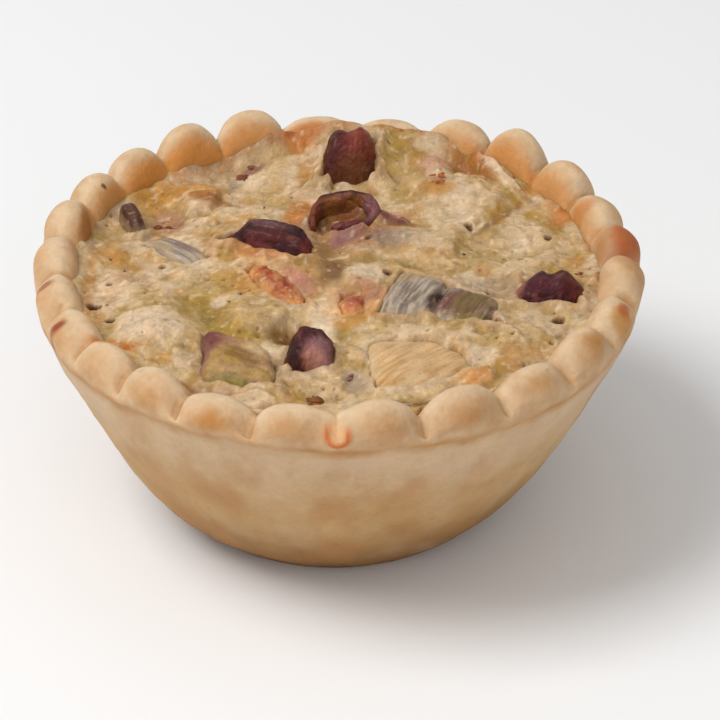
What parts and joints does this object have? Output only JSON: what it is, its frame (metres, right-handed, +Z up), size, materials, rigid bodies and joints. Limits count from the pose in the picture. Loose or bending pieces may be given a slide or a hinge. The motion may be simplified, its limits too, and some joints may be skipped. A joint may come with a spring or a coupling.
{
  "type": "mini quiche",
  "caption": "Small round quiche: a flared shortcrust pastry case with a beaded rim, filled with baked egg and cheese, and pieces of bacon, ham and leek showing in its top.",
  "frame": {"origin": "centre of the footprint, on the plane of the flat foot", "axes": "+Z up through the filling, -Y towards the side that the picture shows in front, +X to its right"},
  "size_m": [0.0704, 0.0724, 0.0353],
  "materials": {
    "pastry": "baked pastry, dry and mottled",
    "filling": "baked egg, slightly moist",
    "bacon": "cooked lean bacon, glossy",
    "ham": "cooked fatty bacon, glossy",
    "leek": "cooked leek, moist and fibrous",
    "leek_skin": "dark cooked leek skin",
    "leek_leaf": "browned leaf, dry"
  },
  "bodies": {
    "root": {"pastry_case": "pastry", "filling": "filling", "bacon_left": "bacon", "bacon_centre": "bacon", "bacon_back": "bacon", "bacon_right": "bacon", "bacon_front": "bacon", "ham_left": "ham", "ham_centre": "ham", "leek_front": "leek", "leek_right": "leek", "leek_left": "leek", "leek_back": "leek_skin", "leek_leaf": "leek_leaf"}
  },
  "joints": []
}
